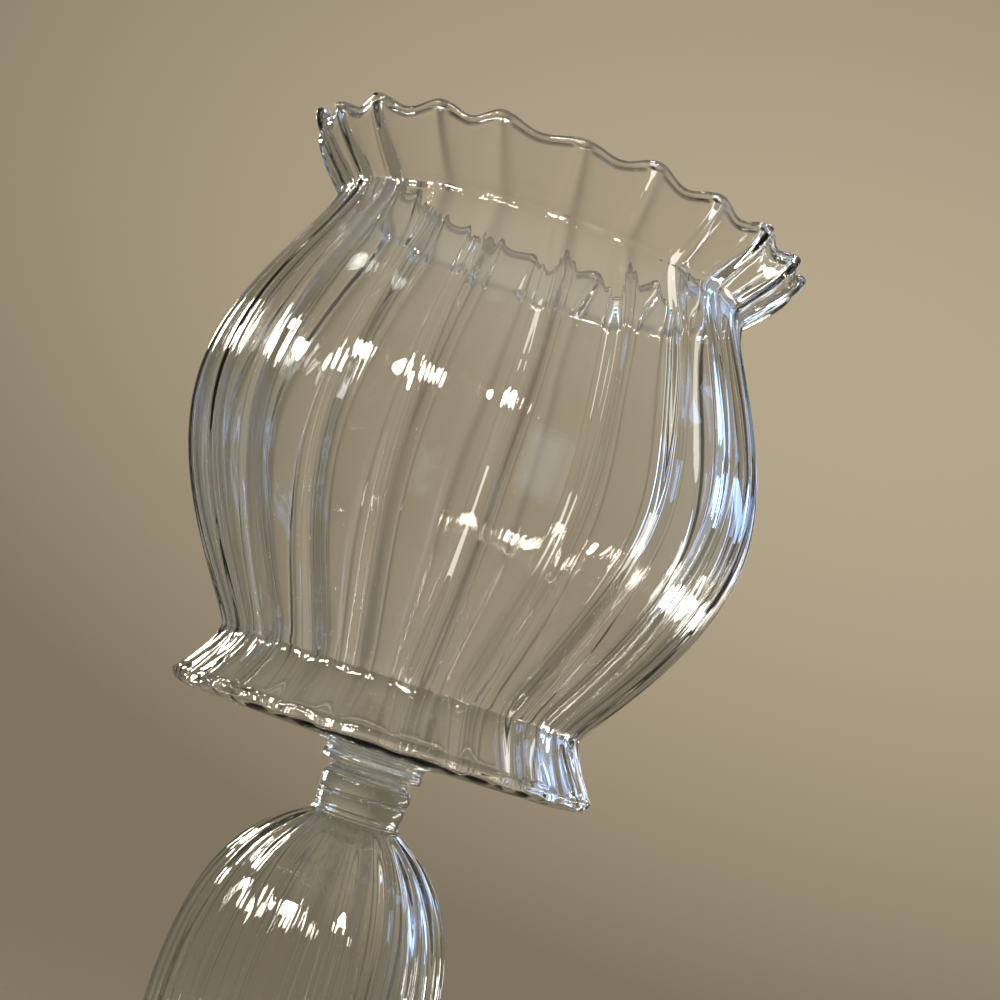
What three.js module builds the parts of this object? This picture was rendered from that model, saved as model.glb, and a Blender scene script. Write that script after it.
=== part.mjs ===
// Goblet vase of clear, optic-ribbed blown glass.
// A ruffled globe bowl stands on a wafer and a spool-shaped collar, a hollow ribbed bulb forms the stem,
// and a second collar joins it to a spreading ribbed foot. The pieces are fused, so nothing moves.
// Millimetres, +Z up, origin on the vase's axis in the plane that the foot stands on.
import * as THREE from 'three';
import { mergeVertices } from 'three/addons/utils/BufferGeometryUtils.js';

// Ribs: each is a narrow ridge on the outside of the glass.
// Radii below are those of the smooth panels between the ribs.
const BOWL_RIBS = 22;
const BULB_RIBS = 20;
const FOOT_RIBS = 22;
const RIB_HEIGHT = 0.7;
const RIB_WIDTH = 3.4;
// The bulb was joined half a rib pitch round from the bowl
const BULB_TURN = Math.PI / BULB_RIBS;

// Hairline between two fused faces, so that each piece stays a solid of its own
const SEAM = 0.2;

// Bowl, with heights from its underside
const BOWL_WALL = 1.6;
const BOWL_FLOOR = 2.4;
const UNDERSIDE_RISE = 0.4;
const SKIRT_RADIUS = 43.9;
const SKIRT_EDGE_HEIGHT = 3.9;
const SKIRT_ROLL = 3.1;
const WAIST_RADIUS = 38;
const WAIST_HEIGHT = 14.8;
const BELLY_RADIUS = 59.3;
const BELLY_HEIGHT = 62.1;
const NECK_RADIUS = 43.9;
const NECK_HEIGHT = 107.5;
const RIM_RADIUS = 52;
const RIM_HEIGHT = 117.7;
// The ruffle lifts the rim and throws it outwards at each rib
const RUFFLE_OUT = 1;
const RUFFLE_RISE = 1.6;

// How far below the rim, and how far inside it, the flare starts to turn up again
const RIM_TURN_HEIGHT = 4.3;
const RIM_TURN_IN = 1.8;

// Share of a wall's height over which each end keeps its upright start
const SKIRT_TURN = 0.26;
const WAIST_TURN = 0.075;
const BELLY_TURN_BELOW = 0.48;
const BELLY_TURN_ABOVE = 0.44;
const NECK_TURN = 0.15;

// Wafer under the bowl
const WAFER_HEIGHT = 4.4;
const WAFER_TOP_RADIUS = 11.2;
const WAFER_EDGE = 0.8;

// Collars at both ends of the bulb: a band above a lower lip, with a groove between
const COLLAR_GROOVE_RADIUS = 9.1;
const COLLAR_GROOVE = 0.5;
const BAND_HEIGHT = 4.6;
const BAND_SWELL = 0.7;
const LIP_HEIGHT = 4.4;
const LIP_SWELL = 1.6;

// Bulb of the stem
const BULB_LENGTH = 84;
const BULB_RADIUS = 28.5;
const BULB_NECK_RADIUS = 9.5;
const BULB_BORE_RADIUS = 6;
const BULB_WALL = 1.6;
const BULB_SHOULDER_REACH = 9.5;
const BULB_SHOULDER_DROP = 5;
const BULB_TURN_SHARE = 0.64;

// Foot
const FOOT_RADIUS = 45.3;
const FOOT_HEIGHT = 15;
const FOOT_NECK_RADIUS = 10.8;
const FOOT_EDGE_HEIGHT = 2.2;
const FOOT_RING_WIDTH = 5;
const FOOT_EDGE_ROLL = 1.8;
const FOOT_HOLLOW_HEIGHT = 6.4;

// Number of steps along the curved stretches of the outlines
const LONG_STEPS = 6;
const MIDDLE_STEPS = 5;
const SHORT_STEPS = 3;
const EDGE_STEPS = 2;
const COLLAR_STEPS = 4;
const COLLAR_SIDES = 32;

const glassColour = new THREE.Color('#dcded8');
const GLASS_ROUGHNESS = 0.04;
const GLASS_OPACITY = 0.35;

function clearGlass() {
  return new THREE.MeshStandardMaterial({
    color: glassColour,
    roughness: GLASS_ROUGHNESS,
    metalness: 0,
    transparent: true,
    opacity: GLASS_OPACITY,
  });
}

// A point of an outline, with how strongly the rib and the ruffle act there, from 0 to 1
function point(radius, height, rib = 0, ruffle = 0) {
  return { radius, height, rib, ruffle };
}

// A wall that leaves one point upright and arrives upright at another, like the side of a bubble
function uprightWall(from, to, leave, arrive) {
  const rise = to.y - from.y;
  const leaving = new THREE.Vector2(from.x, from.y + leave * rise);
  const arriving = new THREE.Vector2(to.x, to.y - arrive * rise);
  return new THREE.CubicBezierCurve(from, leaving, arriving, to);
}

// Points along a curve, either way, set in from it by a wall's thickness
function along(curve, steps, inset = 0, backwards = false) {
  const points = [];
  for (let step = 0; step <= steps; step += 1) {
    const share = backwards ? 1 - step / steps : step / steps;
    const onCurve = curve.getPoint(share);
    const tangent = curve.getTangent(share);
    points.push(new THREE.Vector2(onCurve.x - inset * tangent.y, onCurve.y + inset * tangent.x));
  }
  return points;
}

// Drops points that repeat the one before
function withoutRepeats(points) {
  const tolerance = 1e-6;
  return points.filter((one, index) => {
    const last = points[index - 1];
    return !last || Math.hypot(one.radius - last.radius, one.height - last.height) > tolerance;
  });
}

// The places across one rib pitch where an outline is repeated: crest, rib foot, middle of the panel and
// next rib foot. Each has its share of the pitch and the share of the rib's height there.
function ribStations(ribs, girthRadius) {
  const halfRib = (RIB_WIDTH * ribs) / (4 * Math.PI * girthRadius);
  return [
    { share: 0, crest: 1 },
    { share: halfRib, crest: 0 },
    { share: 0.5, crest: 0 },
    { share: 1 - halfRib, crest: 0 },
  ];
}

// Turns an outline about the axis, raising ribs and the ruffle. The outline has the glass on its left.
function ribbedRevolve(outline, ribs, girthRadius) {
  const stations = ribStations(ribs, girthRadius);
  const turns = ribs * stations.length;
  const profile = outline.map((one) => new THREE.Vector2(one.radius, one.height));
  const geometry = new THREE.LatheGeometry(profile, turns);
  const place = geometry.attributes.position;
  for (let index = 0; index < place.count; index += 1) {
    const turn = Math.floor(index / outline.length) % turns;
    const one = outline[index % outline.length];
    const station = stations[turn % stations.length];
    const angle = ((Math.floor(turn / stations.length) + station.share) / ribs) * 2 * Math.PI;
    const wave = (one.ruffle * (1 + Math.cos(2 * Math.PI * station.share))) / 2;
    const radius = one.radius + one.rib * station.crest * RIB_HEIGHT + wave * RUFFLE_OUT;
    const height = one.height + wave * RUFFLE_RISE;
    place.setXYZ(index, radius * Math.cos(angle), radius * Math.sin(angle), height);
  }
  return closedSurface(geometry);
}

// Turns a plain outline about the axis, for the solid pieces
function plainRevolve(outline) {
  const profile = outline.map((one) => new THREE.Vector2(one.radius, one.height));
  const geometry = new THREE.LatheGeometry(profile, COLLAR_SIDES);
  geometry.rotateX(Math.PI / 2);
  return closedSurface(geometry);
}

// One skin with shared corners
function closedSurface(geometry) {
  geometry.deleteAttribute('normal');
  geometry.deleteAttribute('uv');
  const merged = mergeVertices(geometry);
  merged.computeVertexNormals();
  return merged;
}

function piece(name, geometry, height) {
  const mesh = new THREE.Mesh(geometry, clearGlass());
  mesh.name = name;
  mesh.position.z = height;
  return mesh;
}

// The bowl's outer wall from the skirt's widest line up to the rim, as four curves
function bowlWall() {
  const skirt = new THREE.Vector2(SKIRT_RADIUS, SKIRT_EDGE_HEIGHT);
  const waist = new THREE.Vector2(WAIST_RADIUS, WAIST_HEIGHT);
  const belly = new THREE.Vector2(BELLY_RADIUS, BELLY_HEIGHT);
  const neck = new THREE.Vector2(NECK_RADIUS, NECK_HEIGHT);
  const rim = new THREE.Vector2(RIM_RADIUS, RIM_HEIGHT);
  const skirtTop = new THREE.Vector2(waist.x, waist.y - SKIRT_TURN * (waist.y - skirt.y));
  const flareStart = new THREE.Vector2(neck.x, neck.y + NECK_TURN * (rim.y - neck.y));
  const flareEnd = new THREE.Vector2(rim.x - RIM_TURN_IN, rim.y - RIM_TURN_HEIGHT);
  return {
    skirt: new THREE.QuadraticBezierCurve(skirt, skirtTop, waist),
    lowerGlobe: uprightWall(waist, belly, WAIST_TURN, BELLY_TURN_BELOW),
    upperGlobe: uprightWall(belly, neck, BELLY_TURN_ABOVE, NECK_TURN),
    flare: new THREE.CubicBezierCurve(neck, flareStart, flareEnd, rim),
  };
}

function bowl(height) {
  const wall = bowlWall();
  const plain = (one) => point(one.x, one.y);
  const ribbed = (one) => point(one.x, one.y, 1);
  // The ruffle grows from nothing at the neck to its full size at the rim
  const ruffled = (rib) => (one) => {
    const share = THREE.MathUtils.clamp((one.y - NECK_HEIGHT) / (RIM_HEIGHT - NECK_HEIGHT), 0, 1);
    return point(one.x, one.y, rib, share);
  };
  const underside = new THREE.Vector2(SKIRT_RADIUS - SKIRT_ROLL, UNDERSIDE_RISE);
  const skirtEdge = new THREE.QuadraticBezierCurve(
    underside,
    new THREE.Vector2(SKIRT_RADIUS, UNDERSIDE_RISE),
    new THREE.Vector2(SKIRT_RADIUS, SKIRT_EDGE_HEIGHT),
  );
  // Fire-polished lip: half a round over the end of the wall
  const rimWay = wall.flare.getTangent(1).multiplyScalar(BOWL_WALL / 2);
  const rimMiddle = along(wall.flare, 1, BOWL_WALL / 2)[1];
  const lipTop = rimMiddle.clone().add(rimWay);
  const outline = [
    point(0, 0),
    point(WAFER_TOP_RADIUS, 0),
    plain(underside),
    ...along(skirtEdge, SHORT_STEPS).map(ribbed).slice(1),
    ...along(wall.skirt, SHORT_STEPS).map(ribbed),
    ...along(wall.lowerGlobe, LONG_STEPS).map(ribbed),
    ...along(wall.upperGlobe, LONG_STEPS).map(ribbed),
    ...along(wall.flare, SHORT_STEPS).map(ruffled(1)),
    ruffled(1)(lipTop),
    ...along(wall.flare, SHORT_STEPS, BOWL_WALL, true).map(ruffled(0)),
    ...along(wall.upperGlobe, MIDDLE_STEPS, BOWL_WALL, true).map(plain),
    ...along(wall.lowerGlobe, MIDDLE_STEPS, BOWL_WALL, true).map(plain),
    ...along(wall.skirt, SHORT_STEPS, BOWL_WALL, true).map(plain),
    point(SKIRT_RADIUS - SKIRT_ROLL, BOWL_FLOOR),
    point(0, BOWL_FLOOR),
  ];
  return piece('bowl', ribbedRevolve(withoutRepeats(outline), BOWL_RIBS, BELLY_RADIUS), height);
}

// Flared pad with a small upright edge below, which carries the bowl's floor
function bowlWafer(height) {
  const flare = new THREE.QuadraticBezierCurve(
    new THREE.Vector2(COLLAR_GROOVE_RADIUS + BAND_SWELL, WAFER_EDGE),
    new THREE.Vector2(COLLAR_GROOVE_RADIUS + BAND_SWELL, WAFER_HEIGHT),
    new THREE.Vector2(WAFER_TOP_RADIUS, WAFER_HEIGHT),
  );
  const outline = [
    point(0, 0),
    point(COLLAR_GROOVE_RADIUS, 0),
    ...along(flare, SHORT_STEPS).map((one) => point(one.x, one.y)),
    point(0, WAFER_HEIGHT),
  ];
  return piece('bowl_wafer', plainRevolve(outline), height);
}

const COLLAR_HEIGHT = LIP_HEIGHT + COLLAR_GROOVE + BAND_HEIGHT;

// Round swelling of a collar between two heights
function swelling(from, to, swell) {
  const middle = (from + to) / 2;
  const curve = new THREE.QuadraticBezierCurve(
    new THREE.Vector2(COLLAR_GROOVE_RADIUS, from),
    new THREE.Vector2(COLLAR_GROOVE_RADIUS + 2 * swell, middle),
    new THREE.Vector2(COLLAR_GROOVE_RADIUS, to),
  );
  return along(curve, COLLAR_STEPS).map((one) => point(one.x, one.y));
}

function collar(name, height) {
  const outline = [
    point(0, 0),
    ...swelling(0, LIP_HEIGHT, LIP_SWELL),
    ...swelling(LIP_HEIGHT + COLLAR_GROOVE, COLLAR_HEIGHT, BAND_SWELL),
    point(0, COLLAR_HEIGHT),
  ];
  return piece(name, plainRevolve(outline), height);
}

// One half of the bulb's wall from an end to its girth; sign is 1 upwards and -1 downwards
function bulbHalf(neckRadius, girthRadius, endHeight, sign) {
  const half = BULB_LENGTH / 2;
  return new THREE.CubicBezierCurve(
    new THREE.Vector2(neckRadius, endHeight),
    new THREE.Vector2(neckRadius + BULB_SHOULDER_REACH, endHeight + sign * BULB_SHOULDER_DROP),
    new THREE.Vector2(girthRadius, endHeight + sign * half * (1 - BULB_TURN_SHARE)),
    new THREE.Vector2(girthRadius, endHeight + sign * half),
  );
}

function stemBulb(height) {
  // Ribs run out towards the necks, where the glass is drawn in
  const ribbed = (one) => {
    const share = (one.x - BULB_NECK_RADIUS) / (BULB_RADIUS - BULB_NECK_RADIUS);
    return point(one.x, one.y, THREE.MathUtils.clamp(share, 0, 1));
  };
  const plain = (one) => point(one.x, one.y);
  const innerRadius = BULB_RADIUS - BULB_WALL;
  const outline = [
    ...along(bulbHalf(BULB_NECK_RADIUS, BULB_RADIUS, 0, 1), MIDDLE_STEPS).map(ribbed),
    ...along(bulbHalf(BULB_NECK_RADIUS, BULB_RADIUS, BULB_LENGTH, -1), MIDDLE_STEPS, 0, true).map(ribbed),
    ...along(bulbHalf(BULB_BORE_RADIUS, innerRadius, BULB_LENGTH, -1), COLLAR_STEPS).map(plain),
    ...along(bulbHalf(BULB_BORE_RADIUS, innerRadius, 0, 1), COLLAR_STEPS, 0, true).map(plain),
    point(BULB_NECK_RADIUS, 0),
  ];
  const mesh = piece('stem_bulb', ribbedRevolve(withoutRepeats(outline), BULB_RIBS, BULB_RADIUS), height);
  mesh.rotation.z = BULB_TURN;
  return mesh;
}

function foot() {
  const ringOuter = FOOT_RADIUS - FOOT_EDGE_ROLL;
  const ringInner = ringOuter - FOOT_RING_WIDTH;
  // Ribs run out up the slope, where the foot is drawn in to its neck
  const ribbed = (one) => {
    const share = (one.x - FOOT_NECK_RADIUS) / (FOOT_RADIUS - FOOT_NECK_RADIUS);
    return point(one.x, one.y, THREE.MathUtils.clamp(share, 0, 1));
  };
  const plain = (one) => point(one.x, one.y);
  const hollow = new THREE.QuadraticBezierCurve(
    new THREE.Vector2(FOOT_NECK_RADIUS, FOOT_HOLLOW_HEIGHT),
    new THREE.Vector2(ringInner - FOOT_EDGE_ROLL, FOOT_HOLLOW_HEIGHT),
    new THREE.Vector2(ringInner, 0),
  );
  const edge = new THREE.QuadraticBezierCurve(
    new THREE.Vector2(ringOuter, 0),
    new THREE.Vector2(FOOT_RADIUS, 0),
    new THREE.Vector2(FOOT_RADIUS, FOOT_EDGE_HEIGHT),
  );
  const slope = new THREE.CubicBezierCurve(
    new THREE.Vector2(FOOT_RADIUS, FOOT_EDGE_HEIGHT),
    new THREE.Vector2(FOOT_RADIUS - FOOT_EDGE_ROLL, FOOT_HOLLOW_HEIGHT + FOOT_EDGE_HEIGHT),
    new THREE.Vector2(FOOT_NECK_RADIUS, FOOT_HOLLOW_HEIGHT + FOOT_EDGE_HEIGHT),
    new THREE.Vector2(FOOT_NECK_RADIUS, FOOT_HEIGHT),
  );
  const outline = [
    point(0, FOOT_HOLLOW_HEIGHT),
    ...along(hollow, SHORT_STEPS).map(plain),
    point(ringOuter, 0),
    ...along(edge, EDGE_STEPS).map(ribbed).slice(1),
    ...along(slope, MIDDLE_STEPS).map(ribbed),
    point(0, FOOT_HEIGHT),
  ];
  return piece('foot', ribbedRevolve(withoutRepeats(outline), FOOT_RIBS, FOOT_RADIUS), 0);
}

// The pieces stand on each other, a seam apart
const lowerCollarHeight = FOOT_HEIGHT + SEAM;
const bulbHeight = lowerCollarHeight + COLLAR_HEIGHT + SEAM;
const upperCollarHeight = bulbHeight + BULB_LENGTH + SEAM;
const waferHeight = upperCollarHeight + COLLAR_HEIGHT + SEAM;
const bowlHeight = waferHeight + WAFER_HEIGHT + SEAM;

const vase = new THREE.Group();
vase.name = 'goblet_vase';
vase.add(foot());
vase.add(collar('lower_collar', lowerCollarHeight));
vase.add(stemBulb(bulbHeight));
vase.add(collar('upper_collar', upperCollarHeight));
vase.add(bowlWafer(waferHeight));
vase.add(bowl(bowlHeight));

export default vase;
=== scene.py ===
"""A goblet vase of clear, ribbed, hand-blown glass on a pale floor, seen as in the photograph."""

import math
from typing import NamedTuple

import bpy
import numpy as np
from mathutils import Matrix, Vector


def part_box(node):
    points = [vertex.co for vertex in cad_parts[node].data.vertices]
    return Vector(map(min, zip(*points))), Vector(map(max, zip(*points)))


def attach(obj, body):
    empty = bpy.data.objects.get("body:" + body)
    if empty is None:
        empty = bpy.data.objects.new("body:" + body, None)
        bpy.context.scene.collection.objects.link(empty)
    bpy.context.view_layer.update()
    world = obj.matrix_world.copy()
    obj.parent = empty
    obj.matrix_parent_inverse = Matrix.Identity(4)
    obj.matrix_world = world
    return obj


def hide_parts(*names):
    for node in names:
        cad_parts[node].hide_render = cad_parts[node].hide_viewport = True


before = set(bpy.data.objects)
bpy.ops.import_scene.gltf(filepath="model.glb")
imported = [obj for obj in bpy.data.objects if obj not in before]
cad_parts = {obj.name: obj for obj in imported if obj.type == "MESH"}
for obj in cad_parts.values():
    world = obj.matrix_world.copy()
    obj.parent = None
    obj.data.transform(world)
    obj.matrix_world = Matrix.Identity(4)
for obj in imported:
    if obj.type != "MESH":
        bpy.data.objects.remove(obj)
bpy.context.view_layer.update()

MM = 0.001
SAME_POINT = 1e-6

# Ribs. Lengths of the vase are in millimetres.
BOWL_RIBS = 22
BULB_RIBS = 20
FOOT_RIBS = 22
BOWL_STATIONS = 18
BULB_STATIONS = 28
FOOT_STATIONS = 18
STATION_CROWDING = 0.4
RIB_HEIGHT = 0.85
RIB_WIDTH = 9.5
RIB_SHARPNESS = 2.2
RIM_SHARPENING = 3.0
BULB_SHARPNESS = 4.0
BULB_TURN = math.pi / BULB_RIBS

# Bowl: radii of the panels between the ribs, and heights above its underside
BOWL_WALL = 1.6
BOWL_FLOOR = 2.4
FLOOR_SWELL = 0.8
FLOOR_CORNER = 3
UNDERSIDE_RISE = 2.0
SKIRT_RADIUS = 43.9
SKIRT_EDGE_HEIGHT = 3.9
SKIRT_ROLL = 3.1
SKIRT_TURN = 0.26
WAIST_RADIUS = 38
WAIST_HEIGHT = 14.8
WAIST_TURN = 0.075
BELLY_RADIUS = 59.3
BELLY_HEIGHT = 62.1
BELLY_TURN_BELOW = 0.48
BELLY_TURN_ABOVE = 0.44
NECK_RADIUS = 43.9
NECK_HEIGHT = 107.5
NECK_TURN = 0.15
RIM_RADIUS = 52
RIM_HEIGHT = 117.7
RIM_TURN_HEIGHT = 4.3
RIM_TURN_IN = 1.8
RUFFLE_OUT = 1.0
RUFFLE_RISE = 1.6
RUFFLE_LIMIT = 1.2
RUFFLE_GROWTH = 1.4
FLARE_LEAN = -0.057
LEAN_START = 96
BEAD_RADIUS = 0.78
BEAD_LIFT = 0.7
BEAD_WRAP = 0.6
INNER_RIB = 0.3

# How far the glass between the ribs swells out, or with a minus sign is drawn flat
PANEL_SWELL = -0.2
SKIRT_SWELL = 1.0
INNER_SHARE = 0.6

# Rows of points up the bowl
UNDERSIDE_ROWS = 6
EDGE_ROWS = 9
SKIRT_ROWS = 22
WALL_ROWS = 40
FLARE_ROWS = 18
BEAD_ROWS = 12
INNER_STEP = 2
CORNER_ROWS = 8
FLOOR_ROWS = 10
FLAT_ROWS = 4

# Wafer and collars
WAFER_TOP_RADIUS = 13.5
PAD_RADIUS = 10.5
PAD_HEIGHT = 2.6
PAD_BULGE = 0.5
PAD_HOLLOW = 0.4
UNDERCUT_HEIGHT = 0.6
GROOVE_RADIUS = 8.4
GROOVE_HEIGHT = 0.9
BAND_RADIUS = 9.4
BAND_BULGE = 0.6
FOLD_RISE = 0.4
LIP_HEIGHT = 4.4
LIP_RADIUS = 9.2
LIP_HOLLOW = 0.6
LIP_BULGE = 0.3
LIP_TILT = 0.5
LIP_TILT_TURN = 0.9
COLLAR_END_RADIUS = 9.6
COLLAR_WAVE = 0.08
COLLAR_SIDES = 96
UNDERCUT_ROWS = 8
PAD_ROWS = 6
PAD_FLARE_ROWS = 10
LIP_ROWS = 8
BAND_ROWS = 18
GROOVE_ROWS = 3

# Bulb of the stem
BULB_RADIUS = 28.5
BULB_NECK_RADIUS = 9.5
BULB_BORE_RADIUS = 6
BULB_WALL = 1.6
BULB_SHOULDER_REACH = 9.5
BULB_SHOULDER_DROP = 5
BULB_TURN_SHARE = 0.64
BULB_RIB_REACH = 8
BULB_RIB_GROWTH = 0.6
BULB_OUTER_ROWS = 40
BULB_INNER_ROWS = 32

# Foot
FOOT_RADIUS = 45.3
FOOT_NECK_RADIUS = 10.8
FOOT_EDGE_HEIGHT = 2.2
FOOT_RING_WIDTH = 5
FOOT_EDGE_ROLL = 1.8
FOOT_HOLLOW_HEIGHT = 6.4
FOOT_RIB_GROWTH = 0.5
FOOT_HOLLOW_ROWS = 18
FOOT_RING_ROWS = 5
FOOT_EDGE_ROWS = 10
FOOT_SLOPE_ROWS = 46

# Unevenness of hand-blown glass, in millimetres, shares of a rib's pitch or height, or radians
SEED = 11
RIB_SHIFT = 0.045
RIB_HEIGHT_SPREAD = 0.14
RUFFLE_SPREAD = 0.22
RIB_WANDER = 0.006
WAVE_DEPTH = 0.025
WAVE_LENGTHS = (40, 90)
WAVE_TURNS = range(2, 9)
LOPSIDED = 0.18
LOPSIDED_LENGTH = 30
STILL_RADIUS = 10

# Glass
GLASS_COLOUR = (0.91, 0.915, 0.915, 1)
GLASS_IOR = 1.49
FILM_SCALE = 55
FILM_DETAIL = 4
FILM_LOW = 0.45
FILM_HIGH = 0.8
FILM_ROUGHNESS = 0.02
STREAK_SCALE = 420
STREAK_DETAIL = 2
STREAK_SQUEEZE = (1, 1, 0.06)
STREAK_STRENGTH = 0.02
STREAK_DEPTH = 0.0001
DEPTH_COLOUR = (0.58, 0.66, 0.68, 1)
DEPTH_DENSITY = 36

# Floor and room, in metres. The pale spot's place and reach are in the photograph's frame.
FLOOR_COLOUR = (0.28, 0.236, 0.176, 1)
FLOOR_ROUGHNESS = 0.85
FLOOR_GLOSS = 0.2
FLOOR_HEIGHT = -0.0003
FLOOR_RADIUS = 2.5
FLOOR_RINGS = 40
FLOOR_CROWDING = 1.5
FLOOR_SIDES = 128
FADE_START = 0.12
FADE_END = 0.95
WALL_COLOUR = (0.47, 0.39, 0.265, 1)
WALL_FAR_LEVEL = 0.45
PALE_SPOT = (0.165, 0.96, 0.22)
PALE_REACH = (0.55, 0.55, 0.315)
PALE_FALL = 1.8
CEILING_COLOUR = (1.0, 0.98, 0.95, 1)
CEILING_LEVEL = 0.55
CEILING_START = 0.5

# Colours of the lamps, and the point in the bowl that they face, in metres
WARM = (1.0, 0.92, 0.78)
PALE = (1.0, 0.95, 0.88)
GREY = (0.68, 0.82, 1.0)
COOL = (0.32, 0.54, 1.0)
AIM = Vector((0, 0, 0.17))

# Camera, fitted to the photograph
CAMERA_TURN = math.radians(70.1)
CAMERA_DISTANCE = 415.4
CAMERA_HEIGHT = 134.3
CAMERA_PITCH = math.radians(6.37)
CAMERA_YAW = math.radians(1.04)
CAMERA_ROLL = math.radians(18.4)
FOCAL_SHARE = 2.0085
SENSOR = 36
CLIP_START = 0.01

# Light paths
LIGHT_BOUNCES = 24
GLOSSY_BOUNCES = 8
HIGHLIGHT_CLAMP = 40

rng = np.random.default_rng(SEED)


# Outlines

def bezier(corners, steps):
    """Points along a Bezier curve of any order, both ends included."""
    share = np.linspace(0, 1, steps + 1)[:, None]
    layers = [np.tile(np.array(corner, float), (steps + 1, 1)) for corner in corners]
    while len(layers) > 1:
        layers = [low + (high - low) * share for low, high in zip(layers, layers[1:])]
    return layers[0]


def straight(start, end, steps):
    """Points along a straight stretch."""
    return bezier((start, end), steps)


def upright_wall(start, end, leave, arrive, steps):
    """A wall that leaves one point upright and arrives upright at another, like the side of a bubble."""
    rise = end[1] - start[1]
    leaving = (start[0], start[1] + leave * rise)
    arriving = (end[0], end[1] - arrive * rise)
    return bezier((start, leaving, arriving, end), steps)


def joined(*stretches):
    """Stretches in a row, without the points that repeat the one before."""
    points = np.concatenate(stretches)
    step = np.linalg.norm(np.diff(points, axis=0), axis=1)
    return points[np.concatenate(([True], step > SAME_POINT))]


def ways(points):
    """Unit directions along an outline."""
    way = np.gradient(points, axis=0)
    return way / np.linalg.norm(way, axis=1)[:, None]


def inset(points, wall):
    """The same stretch set in by the wall's thickness and run the other way."""
    way = ways(points)
    inward = np.stack((-way[:, 1], way[:, 0]), axis=1)
    return (points + wall * inward)[::-1]


def acting(points, rib=0.0, ruffle=0.0, swell=0.0):
    """Outline points with the shares of rib height and ruffle and the panels' swell that act there."""
    shares = np.zeros((len(points), 3))
    shares[:, 0] = rib
    shares[:, 1] = ruffle
    shares[:, 2] = swell
    return np.hstack((points, shares))


# Turned glass

class Stations:
    """The places round the axis where an outline is repeated, closer together on the ribs."""

    def __init__(self, ribs, per_rib, turn=0.0, sharpness=RIB_SHARPNESS):
        step = np.arange(per_rib) * 2 / per_rib - 1
        offset = (STATION_CROWDING * step + (1 - STATION_CROWDING) * step**3) / 2
        self.ribs = ribs
        self.sharpness = sharpness
        self.pitch = 2 * math.pi / ribs
        self.offset = np.tile(offset, ribs)
        self.place = np.repeat(np.arange(ribs), per_rib) + self.offset
        self.angle = self.place * self.pitch + turn
        self.shift = self.uneven(RIB_SHIFT)
        self.height = 1 + self.uneven(RIB_HEIGHT_SPREAD)
        self.ruffle = 1 + self.uneven(RUFFLE_SPREAD)

    def uneven(self, spread):
        """A value for each rib, passing gently from one to the next."""
        limit = 2 * spread
        values = rng.normal(0, spread, self.ribs).clip(-limit, limit)
        low = np.floor(self.place).astype(int)
        share = (1 - np.cos(math.pi * (self.place - low))) / 2
        return values[low % self.ribs] * (1 - share) + values[(low + 1) % self.ribs] * share


def waves(angle, height, depth):
    """Shallow waves over a surface, closed round the axis."""
    total = np.zeros(np.broadcast(angle, height).shape)
    for turns in WAVE_TURNS:
        length = rng.uniform(*WAVE_LENGTHS) * rng.choice((-1, 1))
        phase = rng.uniform(0, 2 * math.pi)
        total += np.sin(turns * angle + 2 * math.pi * height / length + phase)
    return depth * total / math.sqrt(len(WAVE_TURNS))


def turned(outline, stations, lean=0.0):
    """Rings of points of an outline turned about the axis, with ribs, panels, ruffle and unevenness.
    The lean is the angle by which each ring is turned on."""
    way = ways(outline[:, :2])
    radius, height, rib, ruffle, swell = (column[:, None] for column in outline.T)
    out = way[:, 1][:, None]
    down = np.maximum(way[:, 0], 0)[:, None]
    width = np.clip(radius * stations.pitch * stations.offset / (RIB_WIDTH / 2), -1, 1)
    sharpness = stations.sharpness + RIM_SHARPENING * ruffle
    crest = rib * stations.height * RIB_HEIGHT * ((1 + np.cos(math.pi * width)) / 2) ** sharpness
    panel = swell * stations.height * (1 - np.cos(2 * math.pi * stations.offset)) / 2
    wave = ruffle * stations.ruffle * (1 + np.cos(2 * math.pi * stations.offset)) / 2
    hold = np.clip(radius / STILL_RADIUS, 0, 1)
    angle = stations.angle + stations.shift * stations.pitch + np.reshape(lean, (-1, 1))
    angle = angle + hold * waves(stations.angle, height, RIB_WANDER)
    relief = crest + panel + hold * waves(stations.angle, height, WAVE_DEPTH)
    lopsided = LOPSIDED * hold * np.sin(2 * stations.angle + height / LOPSIDED_LENGTH)
    radius = radius + relief * out + lopsided + wave * RUFFLE_OUT
    height = height - relief * down + wave * RUFFLE_RISE
    return np.stack((radius * np.cos(angle), radius * np.sin(angle), height + 0 * angle), axis=2)


def plain_rings(outline, tilt=0.0, tilt_height=1.0):
    """Rings of a plain turned piece. Their tilt to one side is greatest at half the tilt's height."""
    angle = np.arange(COLLAR_SIDES) * 2 * math.pi / COLLAR_SIDES
    radius, height = (column[:, None] for column in outline.T)
    lean = tilt * np.sin(angle + LIP_TILT_TURN) * np.clip(1 - np.abs(height / tilt_height - 0.5) * 2, 0, 1)
    radius = radius + np.clip(radius / GROOVE_RADIUS, 0, 1) * waves(angle, height, COLLAR_WAVE)
    return np.stack((radius * np.cos(angle), radius * np.sin(angle), height + lean), axis=2)


def add_object(name, data):
    """An object of a mesh, light or camera, put into the scene."""
    made = bpy.data.objects.new(name, data)
    bpy.context.scene.collection.objects.link(made)
    return made


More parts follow.
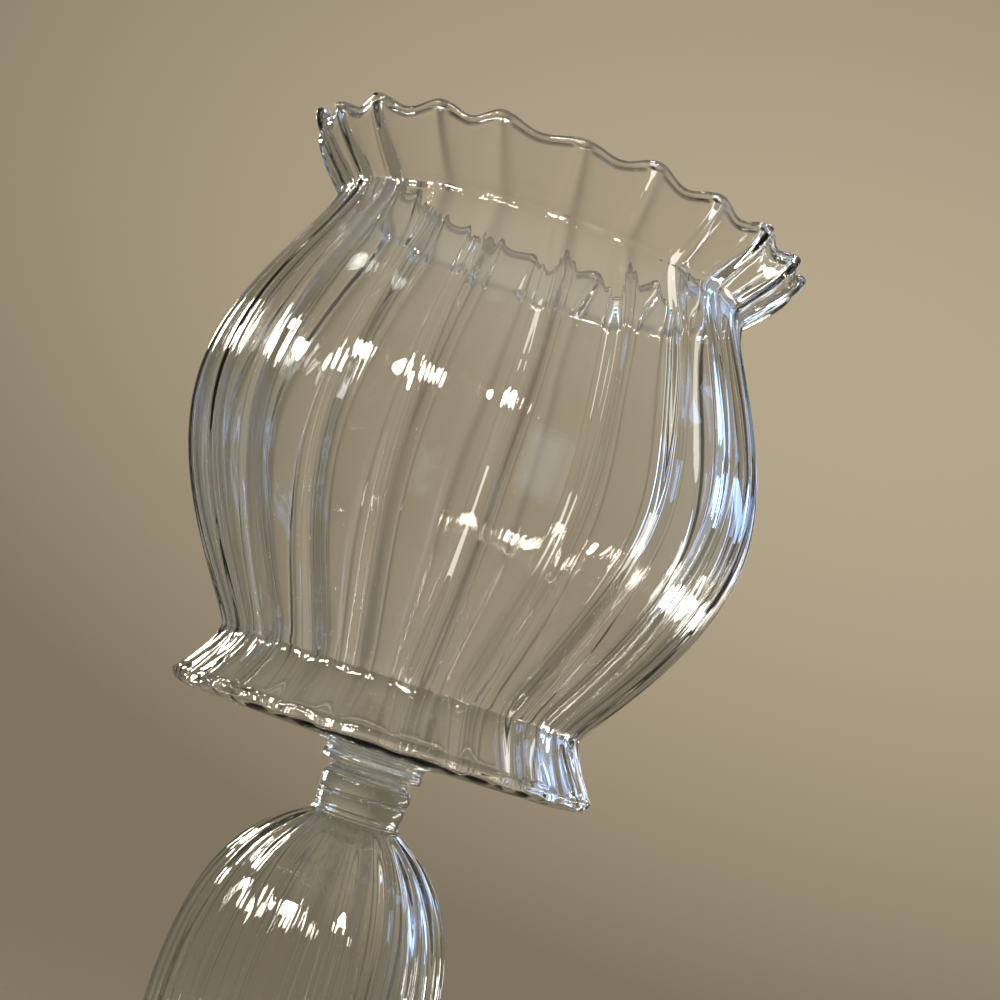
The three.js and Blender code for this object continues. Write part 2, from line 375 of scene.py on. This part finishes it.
def skin(name, rings, base, looped=False):
    """A closed mesh over rings of points, in millimetres above a base height in metres."""
    count, around, _ = rings.shape
    index = np.arange(count * around).reshape(count, around)
    points = rings.reshape(-1, 3) * MM
    points[:, 2] += base
    if not looped:
        index[0] = index[0, 0]
        index[-1] = index[-1, 0]
        points[index[0, 0], :2] = 0
        points[index[-1, 0], :2] = 0
    above = np.roll(index, -1, axis=0) if looped else index[1:]
    below = index if looped else index[:-1]
    quads = np.stack((below, np.roll(below, -1, 1), np.roll(above, -1, 1), above), axis=2).reshape(-1, 4)
    used, packed = np.unique(quads, return_inverse=True)
    faces = [list(dict.fromkeys(face)) for face in packed.reshape(-1, 4).tolist()]
    mesh = bpy.data.meshes.new(name)
    mesh.from_pydata(points[used].tolist(), [], faces)
    mesh.polygons.foreach_set("use_smooth", np.ones(len(faces), bool))
    mesh.update()
    return add_object(name, mesh)


# Pieces of the vase

def dress(piece, node, material):
    """Puts a piece in a node's place, fixed to the vase."""
    piece.data.materials.append(material)
    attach(piece, "root")
    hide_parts(node)


def bowl_wall():
    """The bowl's outer wall from the skirt's widest line up to the rim."""
    skirt = (SKIRT_RADIUS, SKIRT_EDGE_HEIGHT)
    waist = (WAIST_RADIUS, WAIST_HEIGHT)
    belly = (BELLY_RADIUS, BELLY_HEIGHT)
    neck = (NECK_RADIUS, NECK_HEIGHT)
    rim = (RIM_RADIUS, RIM_HEIGHT)
    skirt_top = (WAIST_RADIUS, WAIST_HEIGHT - SKIRT_TURN * (WAIST_HEIGHT - SKIRT_EDGE_HEIGHT))
    flare_start = (NECK_RADIUS, NECK_HEIGHT + NECK_TURN * (RIM_HEIGHT - NECK_HEIGHT))
    flare_end = (RIM_RADIUS - RIM_TURN_IN, RIM_HEIGHT - RIM_TURN_HEIGHT)
    return joined(
        bezier((skirt, skirt_top, waist), SKIRT_ROWS),
        upright_wall(waist, belly, WAIST_TURN, BELLY_TURN_BELOW, WALL_ROWS),
        upright_wall(belly, neck, BELLY_TURN_ABOVE, NECK_TURN, WALL_ROWS),
        bezier((neck, flare_start, flare_end, rim), FLARE_ROWS),
    )


def ruffle_share(points):
    """The ruffle grows from nothing at the neck to its full size at the rim."""
    share = (points[:, 1] - NECK_HEIGHT) / (RIM_HEIGHT - NECK_HEIGHT)
    return np.clip(share, 0, RUFFLE_LIMIT) ** RUFFLE_GROWTH


def panel_swell(points):
    """The panels are drawn flat on the wall and swell into lobes at the skirt's edge."""
    share = np.clip((WAIST_HEIGHT - points[:, 1]) / (WAIST_HEIGHT - SKIRT_EDGE_HEIGHT), 0, 1)
    return PANEL_SWELL + (SKIRT_SWELL - PANEL_SWELL) * share


def bead(outer, inner, way):
    """The rim's fire-polished bead, from the outer side of the wall over the top to the inner side."""
    middle = (outer + inner) / 2 + way * BEAD_RADIUS * BEAD_LIFT
    aside = (outer - inner) / np.linalg.norm(outer - inner)
    turn = np.linspace(-BEAD_WRAP, math.pi + BEAD_WRAP, BEAD_ROWS + 1)[:, None]
    return middle + BEAD_RADIUS * (np.cos(turn) * aside + np.sin(turn) * way)


def bowl_floor(start):
    """The inside of the floor: a rounded corner from the wall, and a floor that swells in the middle."""
    flat = (start[0] - FLOOR_CORNER, BOWL_FLOOR)
    middle = (0, BOWL_FLOOR + FLOOR_SWELL)
    corner = bezier((start, (start[0], BOWL_FLOOR), flat), CORNER_ROWS)
    swelling = (corner[-1], (WAFER_TOP_RADIUS, BOWL_FLOOR), (WAFER_TOP_RADIUS, middle[1]), middle)
    return corner, bezier(swelling, FLOOR_ROWS)


def bowl_outline():
    """The bowl's outline from the middle of its underside, over the rim, to the middle of its floor."""
    wall = bowl_wall()
    inner = inset(wall, BOWL_WALL)[::INNER_STEP]
    seat = (WAFER_TOP_RADIUS, 0)
    edge_start = (SKIRT_RADIUS - SKIRT_ROLL, UNDERSIDE_RISE)
    underside = straight(seat, edge_start, UNDERSIDE_ROWS)
    underside_share = np.linspace(0, 1, len(underside))
    edge = bezier((edge_start, (SKIRT_RADIUS, UNDERSIDE_RISE), wall[0]), EDGE_ROWS)
    lip = bead(wall[-1], inner[0], ways(wall)[-1])
    lip_rib = np.linspace(1, INNER_RIB, len(lip))
    lip_swell = PANEL_SWELL * np.linspace(1, -INNER_SHARE, len(lip))
    inner_swell = -INNER_SHARE * panel_swell(inner)
    corner, floor = bowl_floor(inner[-1])
    return joined(
        acting(straight((0, 0), seat, FLAT_ROWS)),
        acting(underside, rib=underside_share, swell=SKIRT_SWELL * underside_share),
        acting(edge, rib=1, swell=SKIRT_SWELL),
        acting(wall, rib=1, ruffle=ruffle_share(wall), swell=panel_swell(wall)),
        acting(lip, rib=lip_rib, ruffle=ruffle_share(lip), swell=lip_swell),
        acting(inner, rib=-INNER_RIB * ruffle_share(inner), ruffle=ruffle_share(inner), swell=inner_swell),
        acting(corner, swell=np.linspace(inner_swell[-1], 0, len(corner))),
        acting(floor),
    )


def make_bowl(material):
    """The bowl, its ribs leaning a little in the flare."""
    low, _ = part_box("bowl")
    outline = bowl_outline()
    lean = FLARE_LEAN * np.clip((outline[:, 1] - LEAN_START) / (RIM_HEIGHT - LEAN_START), 0, 1)
    rings = turned(outline, Stations(BOWL_RIBS, BOWL_STATIONS), lean)
    dress(skin("ribbed_bowl", rings, low.z), "bowl", material)


def make_wafer(material):
    """A pad above a tight undercut, flared into the bowl's underside."""
    low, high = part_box("bowl_wafer")
    height = (high.z - low.z) / MM
    neck = (GROOVE_RADIUS, 0)
    undercut = (PAD_RADIUS, UNDERCUT_HEIGHT)
    bulge = (PAD_RADIUS + PAD_BULGE, (UNDERCUT_HEIGHT + PAD_HEIGHT) / 2)
    pad = (PAD_RADIUS, PAD_HEIGHT)
    top = (WAFER_TOP_RADIUS, height)
    outline = joined(
        straight((0, 0), neck, FLAT_ROWS),
        bezier((neck, (GROOVE_RADIUS, UNDERCUT_HEIGHT / 2), undercut), UNDERCUT_ROWS),
        bezier((undercut, bulge, pad), PAD_ROWS),
        bezier((pad, (PAD_RADIUS - PAD_HOLLOW, height), top), PAD_FLARE_ROWS),
        straight(top, (0, height), FLAT_ROWS),
    )
    dress(skin("wafer_pad", plain_rings(outline), low.z), "bowl_wafer", material)


def make_collar(name, node, material):
    """A spool with a lip that spreads at the bottom, a shallow fold, a full band and a groove at the top."""
    low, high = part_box(node)
    height = (high.z - low.z) / MM
    end = (COLLAR_END_RADIUS, 0)
    lip = (LIP_RADIUS, LIP_HEIGHT / 2)
    fold = (GROOVE_RADIUS + FOLD_RISE, LIP_HEIGHT)
    band = BAND_RADIUS + BAND_BULGE
    groove = (GROOVE_RADIUS, height - GROOVE_HEIGHT)
    top = (GROOVE_RADIUS, height)
    outline = joined(
        straight((0, 0), end, FLAT_ROWS),
        bezier((end, (LIP_RADIUS - LIP_HOLLOW, LIP_HEIGHT / 4), lip), LIP_ROWS),
        bezier((lip, (LIP_RADIUS + LIP_BULGE, LIP_HEIGHT), fold), LIP_ROWS),
        bezier((fold, (band, LIP_HEIGHT), (band, groove[1]), groove), BAND_ROWS),
        straight(groove, top, GROOVE_ROWS),
        straight(top, (0, height), FLAT_ROWS),
    )
    rings = plain_rings(outline, tilt=LIP_TILT, tilt_height=2 * LIP_HEIGHT)
    dress(skin(name, rings, low.z), node, material)


def bulb_half(neck_radius, girth_radius, end, sign, half, steps):
    """One half of the bulb's wall from an end to its girth, upwards or downwards."""
    shoulder = (neck_radius + BULB_SHOULDER_REACH, end + sign * BULB_SHOULDER_DROP)
    turn = (girth_radius, end + sign * half * (1 - BULB_TURN_SHARE))
    return bezier(((neck_radius, end), shoulder, turn, (girth_radius, end + sign * half)), steps)


def make_bulb(material):
    """The hollow bulb, ribbed outside and smooth inside."""
    low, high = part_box("stem_bulb")
    length = (high.z - low.z) / MM
    half = length / 2
    inner_radius = BULB_RADIUS - BULB_WALL
    outer = joined(
        bulb_half(BULB_NECK_RADIUS, BULB_RADIUS, 0, 1, half, BULB_OUTER_ROWS),
        bulb_half(BULB_NECK_RADIUS, BULB_RADIUS, length, -1, half, BULB_OUTER_ROWS)[::-1],
    )
    inner = joined(
        bulb_half(BULB_BORE_RADIUS, inner_radius, length, -1, half, BULB_INNER_ROWS),
        bulb_half(BULB_BORE_RADIUS, inner_radius, 0, 1, half, BULB_INNER_ROWS)[::-1],
    )
    share = np.clip((outer[:, 0] - BULB_NECK_RADIUS) / BULB_RIB_REACH, 0, 1) ** BULB_RIB_GROWTH
    outline = joined(acting(outer, rib=share), acting(inner))
    rings = turned(outline, Stations(BULB_RIBS, BULB_STATIONS, BULB_TURN, BULB_SHARPNESS))
    dress(skin("ribbed_bulb", rings, low.z, looped=True), "stem_bulb", material)


def make_foot(material):
    """The spreading foot, hollow below, on a flat ring."""
    low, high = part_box("foot")
    height = (high.z - low.z) / MM
    ring_outer = FOOT_RADIUS - FOOT_EDGE_ROLL
    ring_inner = ring_outer - FOOT_RING_WIDTH
    shoulder = FOOT_HOLLOW_HEIGHT + FOOT_EDGE_HEIGHT
    hollow_top = (FOOT_NECK_RADIUS, FOOT_HOLLOW_HEIGHT)
    hollow_turn = (ring_inner - FOOT_EDGE_ROLL, FOOT_HOLLOW_HEIGHT)
    edge_top = (FOOT_RADIUS, FOOT_EDGE_HEIGHT)
    neck = (FOOT_NECK_RADIUS, height)
    edge = bezier(((ring_outer, 0), (FOOT_RADIUS, 0), edge_top), FOOT_EDGE_ROWS)
    slope = bezier((edge_top, (ring_outer, shoulder), (FOOT_NECK_RADIUS, shoulder), neck), FOOT_SLOPE_ROWS)
    share = np.clip((slope[:, 0] - FOOT_NECK_RADIUS) / (FOOT_RADIUS - FOOT_NECK_RADIUS), 0, 1)
    outline = joined(
        acting(straight((0, FOOT_HOLLOW_HEIGHT), hollow_top, FLAT_ROWS)),
        acting(bezier((hollow_top, hollow_turn, (ring_inner, 0)), FOOT_HOLLOW_ROWS)),
        acting(straight((ring_inner, 0), (ring_outer, 0), FOOT_RING_ROWS)),
        acting(edge, rib=np.linspace(0, 1, len(edge))),
        acting(slope, rib=share**FOOT_RIB_GROWTH),
        acting(straight(neck, (0, height), FLAT_ROWS)),
    )
    rings = turned(outline, Stations(FOOT_RIBS, FOOT_STATIONS))
    rings[:, :, 2] = np.maximum(rings[:, :, 2], 0)
    dress(skin("ribbed_foot", rings, low.z), "foot", material)


# Materials

def add_node(tree, kind, **values):
    """A node with the values of its input sockets, whose names have _ in place of a space."""
    node = tree.nodes.new(kind)
    for socket, value in values.items():
        node.inputs[socket.replace("_", " ")].default_value = value
    return node


def vector_math(tree, operation, source, value=None):
    """The result of a Vector Math node on a socket and an optional second value."""
    node = tree.nodes.new("ShaderNodeVectorMath")
    node.operation = operation
    tree.links.new(source, node.inputs[0])
    if value is not None:
        node.inputs[1].default_value = value
    return node.outputs["Value" if operation == "LENGTH" else "Vector"]


def scalar_math(tree, operation, source, value):
    """The result of a Math node on a socket and a value."""
    node = tree.nodes.new("ShaderNodeMath")
    node.operation = operation
    node.inputs[1].default_value = value
    tree.links.new(source, node.inputs[0])
    return node.outputs["Value"]


def map_range(tree, source, before, after, interpolation="LINEAR"):
    """A socket's values mapped from one range to another and kept inside it."""
    ends = {"From_Min": before[0], "From_Max": before[1], "To_Min": after[0], "To_Max": after[1]}
    node = add_node(tree, "ShaderNodeMapRange", **ends)
    node.interpolation_type = interpolation
    tree.links.new(source, node.inputs["Value"])
    return node.outputs["Result"]


def new_material(name):
    """A node material, with its tree and its main shader."""
    material = bpy.data.materials.new(name)
    material.use_nodes = True
    tree = material.node_tree
    return material, tree, tree.nodes["Principled BSDF"]


def clear_glass():
    """Clear blown glass: faint drawn streaks, a thin film of handling, grey-green in the depth."""
    material, tree, shader = new_material("clear_glass")
    shader.inputs["Base Color"].default_value = GLASS_COLOUR
    shader.inputs["Transmission Weight"].default_value = 1.0
    shader.inputs["IOR"].default_value = GLASS_IOR
    place = tree.nodes.new("ShaderNodeTexCoord")
    film = add_node(tree, "ShaderNodeTexNoise", Scale=FILM_SCALE, Detail=FILM_DETAIL)
    tree.links.new(place.outputs["Object"], film.inputs["Vector"])
    smear = map_range(tree, film.outputs["Fac"], (FILM_LOW, FILM_HIGH), (0, FILM_ROUGHNESS))
    tree.links.new(smear, shader.inputs["Roughness"])
    drawn = add_node(tree, "ShaderNodeMapping", Scale=STREAK_SQUEEZE)
    tree.links.new(place.outputs["Object"], drawn.inputs["Vector"])
    streaks = add_node(tree, "ShaderNodeTexNoise", Scale=STREAK_SCALE, Detail=STREAK_DETAIL)
    tree.links.new(drawn.outputs["Vector"], streaks.inputs["Vector"])
    relief = add_node(tree, "ShaderNodeBump", Strength=STREAK_STRENGTH, Distance=STREAK_DEPTH)
    tree.links.new(streaks.outputs["Fac"], relief.inputs["Height"])
    tree.links.new(relief.outputs["Normal"], shader.inputs["Normal"])
    depth = add_node(tree, "ShaderNodeVolumeAbsorption", Color=DEPTH_COLOUR, Density=DEPTH_DENSITY)
    tree.links.new(depth.outputs["Volume"], tree.nodes["Material Output"].inputs["Volume"])
    return material


def pale_floor():
    """A matt pale floor that fades out with the distance from the vase."""
    material, tree, shader = new_material("pale_floor")
    shader.inputs["Base Color"].default_value = FLOOR_COLOUR
    shader.inputs["Roughness"].default_value = FLOOR_ROUGHNESS
    shader.inputs["Specular IOR Level"].default_value = FLOOR_GLOSS
    place = tree.nodes.new("ShaderNodeTexCoord")
    distance = vector_math(tree, "LENGTH", place.outputs["Object"])
    octave = scalar_math(tree, "LOGARITHM", distance, 2)
    fade = map_range(tree, octave, (math.log2(FADE_START), math.log2(FADE_END)), (0, 1), "SMOOTHSTEP")
    clear = tree.nodes.new("ShaderNodeBsdfTransparent")
    mix = tree.nodes.new("ShaderNodeMixShader")
    tree.links.new(fade, mix.inputs["Fac"])
    tree.links.new(shader.outputs["BSDF"], mix.inputs[1])
    tree.links.new(clear.outputs["BSDF"], mix.inputs[2])
    tree.links.new(mix.outputs["Shader"], tree.nodes["Material Output"].inputs["Surface"])
    return material


# Studio

def in_photo(x, y, z):
    """A direction in the photograph's frame (right, away, up), turned into the vase's frame."""
    cosine, sine = math.cos(CAMERA_TURN), math.sin(CAMERA_TURN)
    return Vector((x * cosine - y * sine, x * sine + y * cosine, z))


def make_floor():
    """A round floor, with its rings closer together near the vase."""
    radii = np.linspace(0, 1, FLOOR_RINGS + 1)[1:] ** FLOOR_CROWDING * FLOOR_RADIUS
    turns = np.arange(FLOOR_SIDES) * 2 * math.pi / FLOOR_SIDES
    points = [(0, 0, FLOOR_HEIGHT)]
    for radius in radii:
        points += [(radius * math.cos(turn), radius * math.sin(turn), FLOOR_HEIGHT) for turn in turns]
    faces = [(0, 1 + side, 1 + (side + 1) % FLOOR_SIDES) for side in range(FLOOR_SIDES)]
    for ring in range(FLOOR_RINGS - 1):
        near = 1 + ring * FLOOR_SIDES
        far = near + FLOOR_SIDES
        for side in range(FLOOR_SIDES):
            after = (side + 1) % FLOOR_SIDES
            faces.append((near + side, far + side, far + after, near + after))
    mesh = bpy.data.meshes.new("floor")
    mesh.from_pydata(points, [], faces)
    mesh.materials.append(pale_floor())
    add_object("floor", mesh)


def make_room():
    """Soft room light: a wall that is palest behind the vase, and a pale ceiling."""
    world = bpy.data.worlds.new("room")
    bpy.context.scene.world = world
    world.use_nodes = True
    tree = world.node_tree
    place = tree.nodes.new("ShaderNodeTexCoord")
    room = add_node(tree, "ShaderNodeMapping", Rotation=(0, 0, -CAMERA_TURN))
    tree.links.new(place.outputs["Generated"], room.inputs["Vector"])
    aside = vector_math(tree, "SUBTRACT", room.outputs["Vector"], PALE_SPOT)
    spread = vector_math(tree, "DIVIDE", aside, PALE_REACH)
    falling = scalar_math(tree, "POWER", vector_math(tree, "LENGTH", spread), PALE_FALL)
    wall = tree.nodes["Background"]
    wall.inputs["Color"].default_value = WALL_COLOUR
    tree.links.new(map_range(tree, falling, (0, 1), (1, WALL_FAR_LEVEL)), wall.inputs["Strength"])
    split = tree.nodes.new("ShaderNodeSeparateXYZ")
    tree.links.new(place.outputs["Generated"], split.inputs["Vector"])
    rising = map_range(tree, split.outputs["Z"], (CEILING_START, 1), (0, CEILING_LEVEL), "SMOOTHSTEP")
    ceiling = add_node(tree, "ShaderNodeBackground", Color=CEILING_COLOUR)
    tree.links.new(rising, ceiling.inputs["Strength"])
    both = tree.nodes.new("ShaderNodeAddShader")
    tree.links.new(wall.outputs["Background"], both.inputs[0])
    tree.links.new(ceiling.outputs["Background"], both.inputs[1])
    tree.links.new(both.outputs["Shader"], tree.nodes["World Output"].inputs["Surface"])


# Lamps

class Lamps(NamedTuple):
    """A group of area lamps that face the bowl. Their places are in degrees to the left of the camera, seen
    from the vase, and above the horizon, and their width and height are in degrees too."""

    name: str
    places: list
    distance: float
    size: tuple
    radiance: float
    colour: tuple
    shape: str = "RECTANGLE"
    on_floor: bool = True
    in_glass: bool = True


WINDOWS = [(-105, 16), (-112, 15), (-122, 17), (-131, 13), (-155, 10)]
PANES = [(-100, 38), (-116, 33), (-130, 27)]
SILL = [(-102, -16.5), (-112, -13.5), (-122, -10.5), (-134, -7)]
CLUSTER = [(41, 25), (33, 26), (25, 25)]
BESIDE = [(70, 17), (84, 18), (90, 18)]

# Warm lamps from the front round to the left and back, cool windows on the right with a bright sill
# below them, pale strips behind, and a broad lamp above that lights only the floor
LAMPS = [
    Lamps("window", WINDOWS, 1.0, (3.4, 12), 5, COOL),
    Lamps("window_side", [(-100, 8)], 1.0, (50, 60), 0.3, GREY),
    Lamps("pane", PANES, 1.0, (8, 10), 2.5, COOL, on_floor=False),
    Lamps("key", [(30, 65)], 0.8, (50, 50), 3.0, PALE, in_glass=False),
    Lamps("strip_low", [(-160, 4.5)], 1.2, (6, 7), 0.8, PALE),
    Lamps("strip_high", [(-160, 19)], 1.2, (6, 12), 0.7, PALE),
    Lamps("window_before_inner", [(-24, 1)], 1.0, (5, 26), 0.4, GREY),
    Lamps("window_before_middle", [(-24, 1)], 1.02, (8, 32), 0.4, GREY),
    Lamps("window_before_outer", [(-24, 1)], 1.04, (11, 38), 0.4, GREY),
    Lamps("cluster", CLUSTER, 0.9, (5.2, 8), 90, WARM, "ELLIPSE", on_floor=False),
    Lamps("row", [(4, 26), (58, 27)], 0.9, (3, 5), 90, WARM, "ELLIPSE", on_floor=False),
    Lamps("beside", BESIDE, 0.9, (4, 8), 70, WARM, "ELLIPSE", on_floor=False),
    Lamps("behind", [(133, 15), (141, 16)], 0.9, (4, 7), 60, WARM, "ELLIPSE", on_floor=False),
    Lamps("sill", SILL, 0.5, (6, 5), 12, PALE, on_floor=False),
]


def make_light(name, lamps):
    """The light of one lamp of a group, of the same radiance all over."""
    width, height = (2 * lamps.distance * math.tan(math.radians(one) / 2) for one in lamps.size)
    light = bpy.data.lights.new(name, "AREA")
    light.shape = lamps.shape
    light.size = width
    light.size_y = height
    light.energy = lamps.radiance * math.pi * width * height
    light.color = lamps.colour
    return light


def make_lamps(lamps):
    """The lamps of a group, out of the camera's sight."""
    for number, (left, elevation) in enumerate(lamps.places):
        name = f"{lamps.name}_{number}"
        aside, rise = math.radians(left), math.radians(elevation)
        level = math.cos(rise)
        back = in_photo(-math.sin(aside) * level, -math.cos(aside) * level, math.sin(rise))
        lamp = add_object(name, make_light(name, lamps))
        lamp.location = AIM + back * lamps.distance
        lamp.rotation_mode = "QUATERNION"
        lamp.rotation_quaternion = back.to_track_quat("Z", "Y")
        lamp.visible_camera = False
        lamp.visible_diffuse = lamps.on_floor
        lamp.visible_glossy = lamps.in_glass
        lamp.visible_transmission = lamps.in_glass


# Camera

def make_camera():
    """The photograph's camera: level with the bowl's skirt, tipped up a little and rolled."""
    forward = Vector((
        math.sin(CAMERA_YAW) * math.cos(CAMERA_PITCH),
        math.cos(CAMERA_YAW) * math.cos(CAMERA_PITCH),
        math.sin(CAMERA_PITCH),
    ))
    level = forward.cross(Vector((0, 0, 1))).normalized()
    above = level.cross(forward)
    right = math.cos(CAMERA_ROLL) * level + math.sin(CAMERA_ROLL) * above
    up = math.cos(CAMERA_ROLL) * above - math.sin(CAMERA_ROLL) * level
    columns = [in_photo(*one) for one in (right, up, -forward)]
    place = in_photo(0, -CAMERA_DISTANCE * MM, CAMERA_HEIGHT * MM)
    lens = bpy.data.cameras.new("camera")
    lens.sensor_width = SENSOR
    lens.lens = SENSOR * FOCAL_SHARE
    lens.clip_start = CLIP_START
    camera = add_object("camera", lens)
    camera.matrix_world = Matrix.Translation(place) @ Matrix(columns).transposed().to_4x4()
    bpy.context.scene.camera = camera


def set_light_paths():
    """Lets light through every wall of the glass, and leaves lamps bright in their second reflections."""
    cycles = bpy.context.scene.cycles
    cycles.max_bounces = LIGHT_BOUNCES
    cycles.transmission_bounces = LIGHT_BOUNCES
    cycles.glossy_bounces = GLOSSY_BOUNCES
    cycles.sample_clamp_indirect = HIGHLIGHT_CLAMP


glass = clear_glass()
make_foot(glass)
make_collar("lower_spool", "lower_collar", glass)
make_bulb(glass)
make_collar("upper_spool", "upper_collar", glass)
make_wafer(glass)
make_bowl(glass)
make_floor()
make_room()
for group in LAMPS:
    make_lamps(group)
make_camera()
set_light_paths()
bpy.context.scene.view_settings.view_transform = "Standard"
